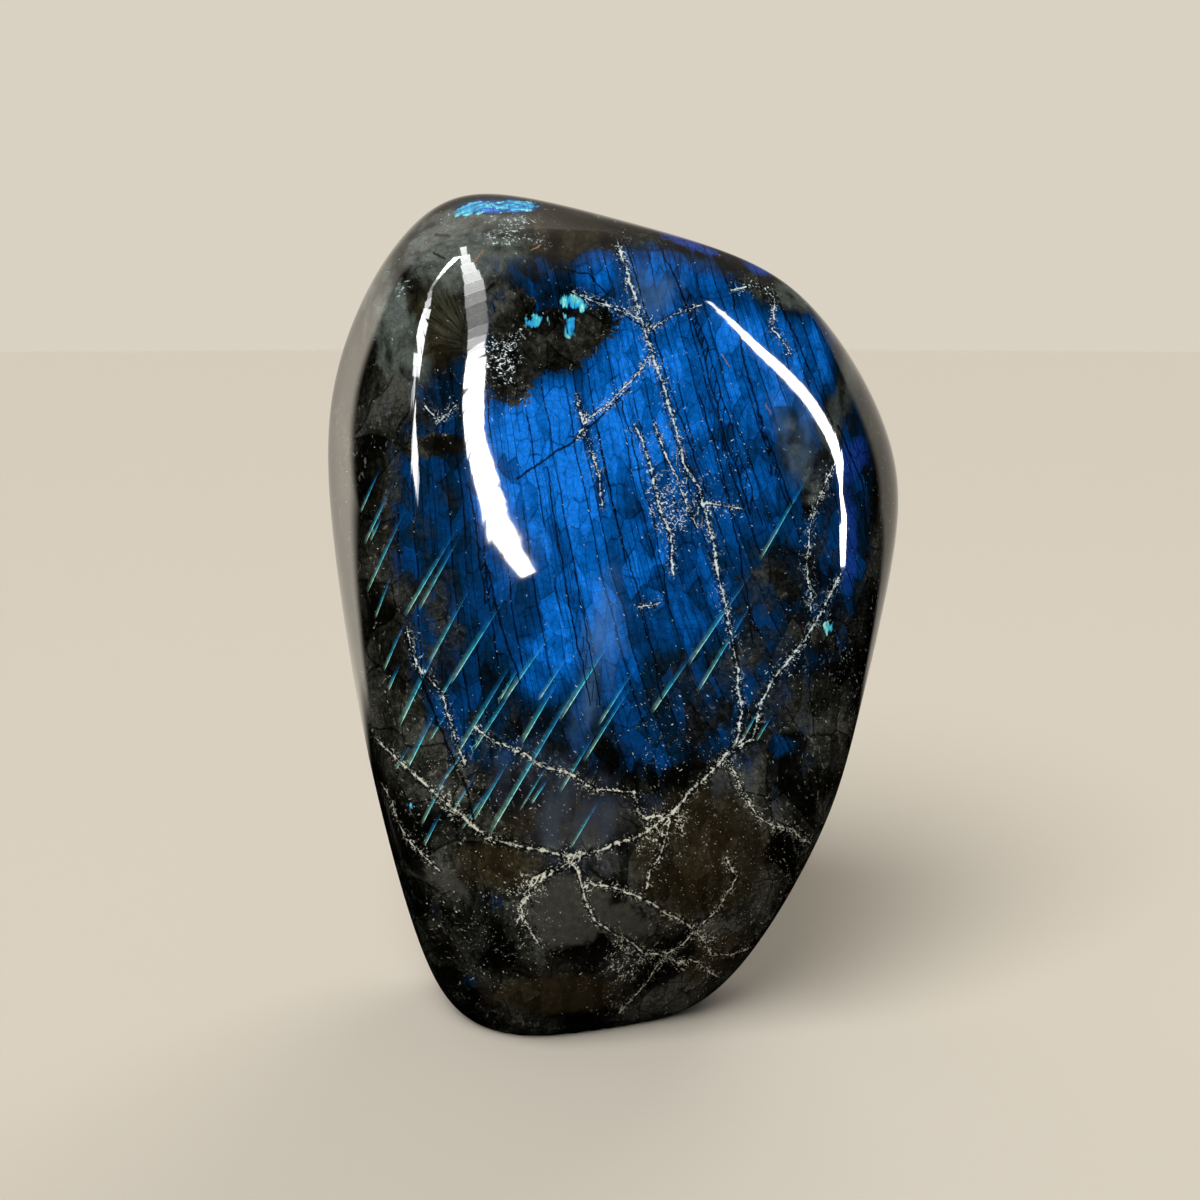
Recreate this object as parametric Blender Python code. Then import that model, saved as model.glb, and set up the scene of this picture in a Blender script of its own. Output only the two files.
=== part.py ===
"""Labradorite freeform: one polished natural stone that stands on a small flat spot.

Metres, +Z up. The broad blue face looks to -Y and the origin is under the middle of the
stone, on the surface it stands on.

A freeform is ground on a wheel, one flat at a time, and then polished until the flats melt
into each other. The stone is made the same way: a round blank is ground back to a list of
flats with soft edges between them, then cut level at the foot.
"""

import math
from typing import NamedTuple

import bmesh
import bpy
from mathutils import Vector

OBJECT_NAME = "labradorite_freeform"
STONE_NAME = "stone"


class Flat(NamedTuple):
    """One ground flat: where it faces, in degrees, and how far it is from the middle, in metres.

    turn is measured round from the front, so +90 is the right side, -90 the left side and 180
    the back. rise is measured up from level, so -90 faces straight down.
    """

    turn: float
    rise: float
    distance: float


# Driving dimensions, in metres
MIDDLE_HEIGHT = 0.098
FOOT_DISTANCE = 0.102
BLANK_HALF_SIZE = Vector((0.064, 0.035, 0.092))

# How tight the edges between flats are: a higher power gives a sharper edge
EDGE_POWER = 16

# Faces of the blank: each step up makes four times as many
BLANK_SUBDIVISIONS = 5

# A corner of the blank this near the foot's level is taken as on it
FOOT_SNAP = 0.0001

FRONT_FLATS = [
    Flat(0, 5, 0.0330),
    Flat(-46, 6, 0.0540),
    Flat(46, 5, 0.0540),
    Flat(-14, 52, 0.0760),
    Flat(-34, -23, 0.0695),
    Flat(20, -28, 0.0615),
]

# From the top down
LEFT_FLATS = [
    Flat(-92, 46, 0.0920),
    Flat(-82, 23.5, 0.0776),
    Flat(-77, -6, 0.0604),
    Flat(-79, -15, 0.0668),
    Flat(-85, -27, 0.0855),
]

# From the top down
RIGHT_FLATS = [
    Flat(92, 41, 0.0740),
    Flat(92, 19, 0.0710),
    Flat(85, -11, 0.0612),
    Flat(88, -20, 0.0622),
    Flat(90, -38, 0.0795),
]

BACK_FLATS = [
    Flat(180, 0, 0.0340),
    Flat(138, 0, 0.0560),
    Flat(-135, 5, 0.0560),
    Flat(170, 50, 0.0780),
    Flat(180, -28, 0.0600),
]

# The peak is on the left, and a long slope runs down from it to the right
TOP_FLATS = [
    Flat(-90, 78, 0.1090),
    Flat(100, 71, 0.0772),
]

FOOT_FLATS = [Flat(0, -90, FOOT_DISTANCE)]

GROUND_FLATS = FRONT_FLATS + LEFT_FLATS + RIGHT_FLATS + BACK_FLATS + TOP_FLATS + FOOT_FLATS

STONE_COLOUR = (0.012, 0.050, 0.150, 1.0)
STONE_ROUGHNESS = 0.08
STONE_REFRACTION = 1.56


def clear_scene():
    """Removes whatever the file holds, so that the stone is alone in it."""
    for old_object in list(bpy.data.objects):
        bpy.data.objects.remove(old_object, do_unlink=True)


def make_collection():
    """The collection that holds the finished stone."""
    collection = bpy.data.collections.new(OBJECT_NAME)
    bpy.context.scene.collection.children.link(collection)
    return collection


def facing(flat):
    """The unit vector that a flat faces along."""
    turn = math.radians(flat.turn)
    rise = math.radians(flat.rise)
    level = math.cos(rise)
    return Vector((math.sin(turn) * level, -math.cos(turn) * level, math.sin(rise)))


def ground_radius(direction, flats):
    """How far the stone reaches from its middle along a direction, in metres.

    Each flat alone would stop the direction at distance / (normal . direction). Adding the
    inverses of those reaches in a high power gives the nearest flat with soft edges.
    """
    total = 0.0
    for normal, distance in flats:
        lean = normal.dot(direction)
        if lean > 0.0:
            total += (lean / distance) ** EDGE_POWER
    return total ** (-1.0 / EDGE_POWER)


def make_blank():
    """An egg of even triangles, about the size of the stone, with its middle at the origin."""
    bpy.ops.mesh.primitive_ico_sphere_add(subdivisions=BLANK_SUBDIVISIONS, radius=1.0)
    blank = bpy.context.active_object
    blank.name = STONE_NAME
    blank.data.name = STONE_NAME
    return blank


def grind(mesh):
    """Moves every corner of the blank along its own direction, out or in to the ground flats."""
    flats = [(facing(flat), flat.distance) for flat in GROUND_FLATS]
    for vertex in mesh.verts:
        direction = (vertex.co * BLANK_HALF_SIZE).normalized()
        vertex.co = direction * ground_radius(direction, flats)
        vertex.co.z += MIDDLE_HEIGHT


def cut_foot(mesh):
    """Cuts the stone level at the height it stands on, and closes the cut with one flat face."""
    bmesh.ops.bisect_plane(
        mesh,
        geom=mesh.verts[:] + mesh.edges[:] + mesh.faces[:],
        dist=FOOT_SNAP,
        plane_co=(0.0, 0.0, 0.0),
        plane_no=(0.0, 0.0, 1.0),
        clear_inner=True,
    )
    for vertex in mesh.verts:
        if vertex.co.z < FOOT_SNAP:
            vertex.co.z = 0.0
    rim = [edge for edge in mesh.edges if edge.is_boundary]
    bmesh.ops.contextual_create(mesh, geom=rim)
    bmesh.ops.triangulate(mesh, faces=[face for face in mesh.faces if len(face.verts) > 3])
    bmesh.ops.recalc_face_normals(mesh, faces=mesh.faces[:])


def centre_over_foot_level(mesh):
    """Slides the stone level until the middle of its length and depth is over the origin."""
    across = [vertex.co.x for vertex in mesh.verts]
    through = [vertex.co.y for vertex in mesh.verts]
    middle = Vector(((min(across) + max(across)) / 2, (min(through) + max(through)) / 2, 0.0))
    bmesh.ops.translate(mesh, verts=mesh.verts[:], vec=-middle)


def polished_labradorite():
    """Dark blue stone under a high polish."""
    material = bpy.data.materials.new("polished_labradorite")
    material.use_nodes = True
    material.diffuse_color = STONE_COLOUR
    shader = material.node_tree.nodes["Principled BSDF"]
    shader.inputs["Base Color"].default_value = STONE_COLOUR
    shader.inputs["Roughness"].default_value = STONE_ROUGHNESS
    shader.inputs["Metallic"].default_value = 0.0
    shader.inputs["IOR"].default_value = STONE_REFRACTION
    return material


def make_stone(collection):
    """The whole stone as one closed solid."""
    stone = make_blank()
    mesh = bmesh.new()
    mesh.from_mesh(stone.data)
    grind(mesh)
    cut_foot(mesh)
    centre_over_foot_level(mesh)
    mesh.to_mesh(stone.data)
    mesh.free()
    stone.data.shade_smooth()
    stone.data.set_sharp_from_angle(angle=math.radians(30))
    stone.data.materials.append(polished_labradorite())
    for holder in list(stone.users_collection):
        holder.objects.unlink(stone)
    collection.objects.link(stone)
    return stone


def main():
    clear_scene()
    make_stone(make_collection())


main()
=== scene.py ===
"""Looks of a labradorite freeform: one polished stone with a blue flash, on a plain pale floor.

The stone is ground by the same rule as its solid, only finer. Its veins, cracks, glint lines and
colour zones are laid on its two broad faces in millimetres, and the material draws them.
"""

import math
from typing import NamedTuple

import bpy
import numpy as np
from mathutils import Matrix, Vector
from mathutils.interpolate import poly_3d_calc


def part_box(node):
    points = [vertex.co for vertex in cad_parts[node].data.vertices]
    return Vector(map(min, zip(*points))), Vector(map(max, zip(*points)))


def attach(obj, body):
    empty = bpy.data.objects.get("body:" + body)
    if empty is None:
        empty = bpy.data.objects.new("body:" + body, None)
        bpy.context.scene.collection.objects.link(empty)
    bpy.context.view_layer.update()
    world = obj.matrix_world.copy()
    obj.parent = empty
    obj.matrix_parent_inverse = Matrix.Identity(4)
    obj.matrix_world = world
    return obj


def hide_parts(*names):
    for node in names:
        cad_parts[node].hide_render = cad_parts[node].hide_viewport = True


bl_info = {
    "name": "Labradorite Freeform",
    "version": (1, 0, 0),
    "blender": (4, 5, 0),
    "location": "3D View > Sidebar > Labradorite",
    "description": "Grinds and polishes a labradorite freeform, and sets a plain studio round it",
    "category": "Add Mesh",
}

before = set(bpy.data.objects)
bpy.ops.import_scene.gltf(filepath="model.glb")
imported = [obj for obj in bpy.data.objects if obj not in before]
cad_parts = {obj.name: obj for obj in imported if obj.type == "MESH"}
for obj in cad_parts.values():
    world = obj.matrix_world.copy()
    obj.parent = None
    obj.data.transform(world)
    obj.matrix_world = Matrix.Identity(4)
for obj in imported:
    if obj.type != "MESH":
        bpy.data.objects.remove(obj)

STONE_NODE = "stone"
STONE_PIECE = "polished_stone"

# Face features are laid out in millimetres, and Blender works in metres
MM = 0.001


class Flat(NamedTuple):
    """One ground flat: where it faces, in degrees, and how far it is from the middle, in metres."""

    turn: float
    rise: float
    distance: float


GROUND_FLATS = [
    # Front
    Flat(0, 5, 0.0330),
    Flat(-46, 6, 0.0540),
    Flat(46, 5, 0.0540),
    Flat(-14, 52, 0.0760),
    Flat(-34, -23, 0.0695),
    Flat(20, -28, 0.0615),
    # Left side, from the top down
    Flat(-92, 46, 0.0920),
    Flat(-82, 23.5, 0.0776),
    Flat(-77, -6, 0.0604),
    Flat(-79, -15, 0.0668),
    Flat(-85, -27, 0.0855),
    # Right side, from the top down
    Flat(92, 41, 0.0740),
    Flat(92, 19, 0.0710),
    Flat(85, -11, 0.0612),
    Flat(88, -20, 0.0622),
    Flat(90, -38, 0.0795),
    # Back
    Flat(180, 0, 0.0340),
    Flat(138, 0, 0.0560),
    Flat(-135, 5, 0.0560),
    Flat(170, 50, 0.0780),
    Flat(180, -28, 0.0600),
    # Top and foot
    Flat(-90, 78, 0.1090),
    Flat(100, 71, 0.0772),
    Flat(0, -90, 0.1020),
]


class Line(NamedTuple):
    """A line on a broad face: its width and its route of (x, z) points, in millimetres."""

    width: float
    route: list


class Glint(NamedTuple):
    """A thin wedge of teal light: its lower and upper end as (x, z), and its width, in millimetres."""

    foot: tuple
    head: tuple
    width: float


class Patch(NamedTuple):
    """An oval on a broad face: middle and half sizes in millimetres, turned by degrees."""

    x: float
    z: float
    half_width: float
    half_height: float
    turn: float = 0.0


class Brush(NamedTuple):
    """A soft oval that paints a level from 0 to 1 over what was there."""

    x: float
    z: float
    half_width: float
    half_height: float
    turn: float
    level: float


FRONT_VEINS = [
    # The long white vein, and the arm that swings back to the left below it
    Line(0.7, [(1, 172.5), (4, 163), (7.5, 152), (10, 144.5), (12.5, 136), (14, 129.5), (17.5, 123.5),
               (20, 114), (22, 103.5), (24.5, 91.5), (26.5, 78.5), (25, 71)]),
    Line(0.9, [(24.5, 70.5), (21.5, 67), (16.5, 62.5), (12, 57), (5.5, 52.5), (-2, 49.5), (-10, 48)]),
    # Broken veins beside the long one
    Line(0.5, [(8.5, 136), (11, 129.5), (13.5, 124.5), (16.5, 117)]),
    Line(0.6, [(4.5, 136), (7.5, 128.5), (9, 121), (11.5, 115), (12, 107.5)]),
    Line(0.7, [(-7.5, 142), (-5, 132.5), (-3, 126.5), (-2.5, 121)]),
    # Branches across the blue
    Line(0.4, [(7.5, 152), (5, 147.5), (-1, 141), (-5.5, 138), (-7.5, 134.5), (-5, 133.5)]),
    Line(0.4, [(7, 155.5), (9, 157), (12, 159), (16.5, 160.5)]),
    Line(0.4, [(-7.5, 163), (0.5, 160), (5, 158)]),
    Line(0.5, [(19, 121), (25, 120)]),
    Line(0.35, [(6, 100), (8.5, 100.5)]),
    Line(0.4, [(24.5, 164), (30, 164.5), (32.5, 162), (32, 156), (35.5, 151.5)]),
    # Two veins down the right side
    Line(0.35, [(45, 128), (43, 124), (41.5, 120.5), (40, 115.5), (39.5, 109.5), (40.5, 100)]),
    Line(0.7, [(46.5, 105), (40.5, 95), (38, 91.5), (33.5, 86), (30.5, 80.5), (28.5, 72.5),
               (25, 70.5)]),
    # The network round the foot
    Line(0.9, [(-50, 69.5), (-44.5, 67), (-40, 63.5), (-33.5, 58), (-26.5, 52), (-21, 50.5), (-10, 48)]),
    Line(0.7, [(-10, 48), (-7.5, 45), (-5.5, 37), (-3.5, 33), (4, 27), (6.5, 23.5)]),
    Line(0.7, [(-6, 42.5), (-1, 41.5), (6.5, 38), (14, 32), (17.5, 28)]),
    Line(0.6, [(17.5, 28), (21.5, 32.5), (25, 39), (26, 42), (24, 46)]),
    Line(0.5, [(17.5, 28), (19, 26), (21.5, 20), (26.5, 19), (30, 19.5)]),
    Line(0.6, [(17.5, 28), (15, 24.5), (11, 22), (7, 23.5)]),
    Line(0.6, [(11, 21.5), (6.5, 13.5), (2, 7)]),
    Line(0.5, [(11, 21.5), (14.5, 19), (16.5, 20), (19, 18), (23.5, 12.5)]),
    Line(0.6, [(-28, 74.5), (-25, 72), (-18.5, 69.5), (-16, 67.5), (-8.5, 65), (-4, 62), (4, 61.5),
               (5, 57.5), (6.5, 56), (10, 56.5)]),
    Line(0.5, [(11.5, 55), (11, 52.5), (10, 49), (7.5, 44.5), (7, 41.5)]),
    Line(0.5, [(24, 67.5), (26, 63), (30, 56), (34, 53.5), (37.5, 52.5), (41.5, 48)]),
    Line(0.5, [(-49, 59), (-47, 57.5), (-46, 53.5), (-42.5, 49), (-37, 44.5)]),
    Line(0.6, [(-42.5, 94), (-40, 86.5), (-35.5, 82), (-33.5, 75.5), (-32, 70.5), (-31, 67.5)]),
    Line(0.4, [(-10.5, 46), (-16, 42), (-19.5, 37), (-18.5, 33), (-16, 29)]),
    Line(0.6, [(-12, 45.5), (-17, 43), (-19, 38.5), (-20, 34)]),
    Line(0.4, [(-33, 140), (-35.5, 137.5), (-38, 140)]),
]

FRONT_CRACKS = [
    Line(0.5, [(2.5, 172.5), (5, 164), (8.5, 153), (14, 137), (18.5, 124)]),
    Line(0.6, [(8.5, 174), (11.5, 168), (15, 160), (17.5, 153), (22, 136), (27.5, 119.5)]),
    Line(0.6, [(20.5, 170), (24, 163), (26.5, 148.5), (29, 140.5), (32, 127.5)]),
    Line(0.5, [(32, 164.5), (37.5, 153), (44.5, 137.5)]),
    Line(0.5, [(26.5, 148.5), (30.5, 136), (36, 121.5)]),
    Line(0.7, [(-19, 126.5), (-12, 131.5), (-7.5, 134), (2.5, 143.5)]),
    Line(0.5, [(-13.5, 127.5), (-12.5, 119.5), (-10.5, 109.5), (-8.5, 97), (-5, 80.5)]),
    Line(0.4, [(-8, 106.5), (-5.5, 93), (-3, 80.5)]),
    Line(0.6, [(-26.5, 109.5), (-23.5, 97), (-19.5, 85)]),
    Line(0.6, [(-29.5, 123.5), (-28, 113.5), (-26.5, 101.5)]),
    Line(0.5, [(-3.5, 162), (3, 158), (7, 156)]),
    Line(0.5, [(-3, 134.5), (-0.5, 121.5), (3, 109.5), (6.5, 97), (10, 80.5)]),
    Line(0.5, [(1.5, 142), (5, 127.5), (8.5, 115.5), (11, 101.5)]),
    Line(0.5, [(17.5, 142), (22, 127.5), (26, 109.5), (28.5, 93)]),
    Line(0.4, [(15.5, 162), (19.5, 150), (24.5, 134), (30, 117.5)]),
    Line(0.9, [(-43, 93.5), (-39, 82.5), (-34.5, 71), (-30.5, 62), (-29, 53.5)]),
    Line(0.5, [(-10, 168), (-5, 167), (-2, 163.5)]),
    Line(0.6, [(46.5, 135.5), (52, 124.5), (53.5, 112)]),
    # Small pits
    Line(1.0, [(-36.5, 175.2), (-35, 175)]),
    Line(0.9, [(-26, 163.5), (-25, 164.5)]),
    Line(0.8, [(-36.5, 171), (-35.5, 170.5)]),
]

FRONT_GLINTS = [
    # Left rim
    Glint((-53.5, 117.5), (-48, 128.5), 0.8),
    Glint((-52.5, 111), (-45, 125.5), 1.0),
    Glint((-51, 112), (-48, 118), 0.8),
    Glint((-52, 101), (-41.5, 122), 1.0),
    Glint((-50, 96), (-45.5, 107), 0.8),
    Glint((-43, 97.5), (-30.5, 118.5), 1.2),
    Glint((-40, 99), (-30.5, 116), 1.0),
    Glint((-38, 88), (-28.5, 105.5), 1.2),
    Glint((-48, 85.5), (-42.5, 97.5), 0.9),
    Glint((-47, 81.5), (-44, 88), 1.0),
    Glint((-44.5, 74.5), (-34.5, 95), 1.6),
    Glint((-43, 65.5), (-35.5, 80.5), 1.6),
    Glint((-45.5, 65), (-42, 71.5), 0.8),
    Glint((-38, 72), (-33.5, 79.5), 0.8),
    # Middle
    Glint((-33.5, 84), (-20.5, 104.5), 1.6),
    Glint((-36, 80.5), (-31.5, 88), 1.0),
    Glint((-32.5, 69), (-19, 91.5), 1.4),
    Glint((-29, 70), (-17.5, 88), 1.2),
    Glint((-23.5, 80.5), (-18.5, 89), 0.8),
    Glint((-19, 71.5), (-10, 87), 1.6),
    Glint((-22.5, 80.5), (-11, 97), 1.4),
    Glint((-15.5, 80.5), (-8, 92), 1.0),
    Glint((-11, 76.5), (2, 97), 1.6),
    Glint((-6, 68), (5.5, 86.5), 1.0),
    Glint((-3, 75.5), (5.5, 89), 1.0),
    # Lower end
    Glint((-40, 54), (-32, 70), 1.0),
    Glint((-39.5, 49.5), (-35.5, 57.5), 1.0),
    Glint((-35, 64), (-29.5, 72), 0.8),
    Glint((-33.5, 57), (-28, 66), 0.8),
    Glint((-31.5, 53.5), (-25, 63.5), 0.8),
    Glint((-29, 55.5), (-20.5, 70), 1.2),
    Glint((-26, 52), (-2, 93), 1.6),
    Glint((-19.5, 57.5), (-11, 71.5), 0.6),
    Glint((-17, 59), (-13, 65), 1.0),
    Glint((-11, 61.5), (-3, 75), 1.0),
    Glint((-9, 49.5), (-2, 61.5), 0.8),
    # The broad teal band on the right
    Glint((8, 78), (17.5, 92), 1.4),
    Glint((15.5, 88), (30, 109.5), 1.4),
    Glint((17.5, 82.5), (30, 103.5), 1.2),
    Glint((30, 109.5), (42, 130.5), 1.0),
    Glint((26.5, 72), (32, 82.5), 0.8),
    Glint((29.5, 72), (33, 78), 0.8),
]

# Rust-coloured splinters
FRONT_SPLINTERS = [
    Line(0.3, [(-28, 170), (-27, 171.5)]),
    Line(0.3, [(-16.5, 172), (-15.5, 172.5)]),
    Line(0.2, [(22, 150.5), (23, 149)]),
    Line(0.2, [(31, 140.5), (31.5, 139.5)]),
]

# How bright the flash is, painted in this order
FRONT_FLASH = [
    Brush(4, 120, 46, 56, 12, 0.50),
    Brush(-14, 127, 17, 26, -12, 1.00),
    Brush(20, 148, 22, 16, -20, 0.80),
    Brush(36, 148, 10, 14, -30, 0.78),
    Brush(4, 140, 14, 16, 0, 0.86),
    Brush(-4, 104, 15, 17, 0, 0.78),
    Brush(-24, 103, 8, 15, 0, 0.60),
    Brush(-38, 118, 9, 20, 0, 0.36),
    Brush(8, 92, 7, 13, 0, 0.52),
    Brush(12, 84, 9, 8, 0, 0.30),
    Brush(24, 118, 8, 20, 0, 0.62),
    Brush(28, 109, 6, 8, 30, 0.38),
    Brush(34, 98, 11, 17, -12, 0.20),
    Brush(-31, 82, 9, 12, 0, 0.40),
    Brush(-14, 88, 7, 8, 0, 0.86),
    Brush(18, 82, 8, 12, -20, 0.24),
    Brush(11, 69, 4, 3, 0, 0.24),
    Brush(-26, 72, 9, 8, 0, 0.30),
    Brush(-38, 95, 7, 16, 0, 0.24),
    Brush(50, 120, 5, 25, 0, 0.40),
    Brush(37, 132, 4, 9, 15, 0.17),
    Brush(-40, 164, 13, 18, 25, 0.00),
    Brush(-12, 156, 12, 10, 20, 0.26),
    Brush(-14, 178, 34, 9, -6, 0.00),
    Brush(34, 166, 13, 5, -28, 0.10),
    Brush(12, 167, 12, 5, -18, 0.72),
    Brush(-15, 167, 8, 4, 0, 0.32),
    Brush(-25, 181.5, 10, 2, -2, 0.90),
    Brush(-4, 168, 4.5, 4.5, 0, 0.66),
    Brush(-26, 38, 3, 3.4, 0, 0.15),
    Brush(-30, 16, 5, 3, 0, 0.11),
    Brush(34.5, 71, 3, 2.5, 0, 0.30),
]

# Islands without flash
FRONT_BARE = [
    Patch(-13, 153.5, 9.5, 6.5, 10),
    Patch(-5, 156, 6.5, 3.8, 32),
    Patch(-21.5, 147, 5, 6.5, 20),
    Patch(-20, 157, 5, 7),
    Patch(-37, 132.5, 8, 2.4, 5),
    Patch(41.5, 125, 2.8, 8, -15),
]

# Milky clouds in the stone; the two patches low in the middle are a painted hazy reflection in the polish
FRONT_HAZE_AND_REFLECTION = [
    Patch(-3, 90, 3.4, 14, -12),
    Patch(-8, 56, 10, 10),
    Patch(-18, 63, 6, 6),
    Patch(37.5, 134, 3.5, 7, 20),
    Patch(8, 163.5, 4, 3.5),
]

FRONT_TURQUOISE = [
    Patch(-8, 161.2, 2.4, 1.2, -15),
    Patch(-8.8, 156.8, 1.4, 1.8),
    Patch(-16, 157.5, 2, 1, 10),
    Patch(-30, 181.8, 4.5, 2.2, 12),
    Patch(-21, 182, 5, 1.8, -6),
    Patch(44.5, 95, 0.6, 0.6),
    Patch(-42.5, 57.5, 0.6, 0.5),
]

FRONT_VIOLET = [
    Patch(15, 173, 6, 1.1, -18),
    Patch(29.5, 168, 3, 0.9, -25),
    Patch(49.5, 129, 3.4, 4.4, -35),
    Patch(49, 112, 2, 10, 3),
]

FRONT_BROWN = [
    Patch(18, 47, 14, 15),
    Patch(-24, 46, 9, 5),
    Patch(-10, 55, 12, 4),
    Patch(22, 20, 8, 6, 30),
    Patch(-12, 14, 14, 6),
    Patch(-10, 175.5, 8, 5, -10),
    Patch(-38, 156, 6, 7, 30),
]

FRONT_GREY = [
    Patch(-9, 36, 8.5, 8.5),
    Patch(1, 33, 8, 4, -35),
    Patch(-36, 42, 6, 1.2, -25),
]

FRONT_ASHEN = [
    Patch(-32, 174, 12, 9, 20),
    Patch(-25, 172.5, 8, 5, -5),
    Patch(6, 164.5, 5, 4),
    Patch(-47, 158, 6, 14, 25),
    Patch(40, 160, 8, 4, -40),
    Patch(46, 140, 3.5, 12, -20),
    Patch(38.5, 129, 2.5, 7, 20),
]

FRONT_FIBRE = [
    Patch(-34.5, 159, 4, 7, 20),
]

# White granular crust inside the stone
FRONT_CRUST = [
    Patch(2, 21, 4, 7, -15),
    Patch(16, 19.5, 1.6, 0.8, 45),
    Patch(-17, 41, 3, 4, -20),
    Patch(9, 53, 5, 2.5, 20),
    Patch(-34, 59, 6, 1.5, -42),
    Patch(18, 28, 3, 2.5),
    Patch(-21, 175, 6, 3, -5),
    Patch(-22, 150, 3.5, 4),
    Patch(-42.5, 165, 1.2, 0.9),
    Patch(11.5, 121, 4, 7, 15),
]

FRONT_BLACK = [
    Patch(-8, 177, 3, 1.2, -20),
    Patch(-12, 173.5, 1.5, 2),
    Patch(12, 19.5, 8, 4.5, 50),
    Patch(15, 26, 7, 2, 50),
    Patch(-37, 133, 3, 1.5),
    Patch(-44, 50, 3, 9, 20),
]

FRONT_SPECKLED = [
    Patch(13, 127, 8, 13, 12),
    Patch(24, 131, 6, 8),
    Patch(9, 72, 10, 10),
    Patch(43, 84, 11, 13),
    Patch(2, 18, 7, 8),
    Patch(-30, 60, 16, 18),
    Patch(25, 40, 18, 20),
    Patch(-25, 30, 14, 14),
    Patch(-22, 147, 6, 7),
]

BACK_VEINS = [
    Line(0.9, [(-38, 140), (-26, 122), (-20, 104), (-6, 92), (8, 88), (24, 70), (30, 52)]),
    Line(0.7, [(-6, 92), (-10, 70), (-22, 52), (-26, 34), (-18, 16)]),
    Line(0.6, [(8, 88), (16, 108), (14, 130), (26, 150)]),
    Line(0.6, [(-22, 52), (-4, 44), (10, 30), (14, 14)]),
    Line(0.5, [(24, 70), (38, 76), (52, 96)]),
    Line(0.5, [(-26, 122), (-42, 114), (-56, 118)]),
]

BACK_CRACKS = [
    Line(0.6, [(-30, 168), (-24, 140), (-16, 112), (-10, 80)]),
    Line(0.5, [(-8, 172), (-2, 146), (4, 118)]),
    Line(0.6, [(16, 160), (22, 132), (30, 100)]),
    Line(0.5, [(-44, 120), (-38, 92), (-30, 64)]),
]

BACK_SPLINTERS = [Line(0.5, [(12, 118), (14.5, 120)])]

BACK_GLINTS = [
    Glint((-20, 96), (-9, 114), 1.4),
    Glint((-15, 94), (-3, 115), 1.2),
    Glint((-8, 98), (2, 114), 1.0),
    Glint((22, 120), (31, 136), 1.2),
    Glint((27, 118), (36, 132), 1.0),
]

BACK_FLASH = [
    Brush(-14, 112, 17, 24, 20, 0.55),
    Brush(-12, 116, 9, 14, 20, 0.80),
    Brush(28, 130, 10, 14, 0, 0.42),
    Brush(8, 60, 9, 8, 0, 0.30),
]

BACK_BARE = [Patch(-8, 104, 4, 7, 20)]
BACK_HAZE = [Patch(4, 132, 10, 16, 15), Patch(20, 48, 9, 12), Patch(-30, 72, 8, 14)]
BACK_TURQUOISE = [Patch(-18, 122, 2.4, 3.4, 20)]
BACK_VIOLET = [Patch(32, 140, 4, 7, 10)]
BACK_BROWN = [Patch(-30, 48, 16, 16), Patch(26, 96, 12, 18), Patch(-28, 158, 14, 12)]
BACK_GREY = [Patch(2, 34, 14, 12), Patch(10, 156, 14, 12)]
BACK_ASHEN = [Patch(34, 150, 12, 10, 30), Patch(-40, 100, 6, 16)]
BACK_FIBRE = [Patch(-34, 150, 10, 12, 20)]
BACK_CRUST = [Patch(-6, 88, 3, 5), Patch(-22, 50, 4, 4)]
BACK_BLACK = [Patch(-34, 20, 8, 5, -30)]
BACK_SPECKLED = [Patch(-20, 76, 20, 24), Patch(24, 62, 18, 20), Patch(14, 140, 16, 18)]

# Camera: as far from the stone as the photograph's view, 10 degrees above level
CAMERA_TARGET = Vector((-0.0029, 0.0, 0.0958))
CAMERA_DISTANCE = 0.373
CAMERA_RISE = 10.0
CAMERA_LENS = 50.0
CAMERA_SENSOR = 36.0
CAMERA_CLIP = 0.01


def facing(turn, rise):
    """The unit vector that points along a turn and a rise, in degrees."""
    level = math.cos(math.radians(rise))
    return Vector((
        math.sin(math.radians(turn)) * level,
        -math.cos(math.radians(turn)) * level,
        math.sin(math.radians(rise)),
    ))


CAMERA_PLACE = CAMERA_TARGET + CAMERA_DISTANCE * facing(0.0, CAMERA_RISE)


class Gleam(NamedTuple):
    """A point along a highlight: where it is on the front and how wide, in millimetres, and how bright."""

    x: float
    z: float
    width: float
    strength: float = 1.0


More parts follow.
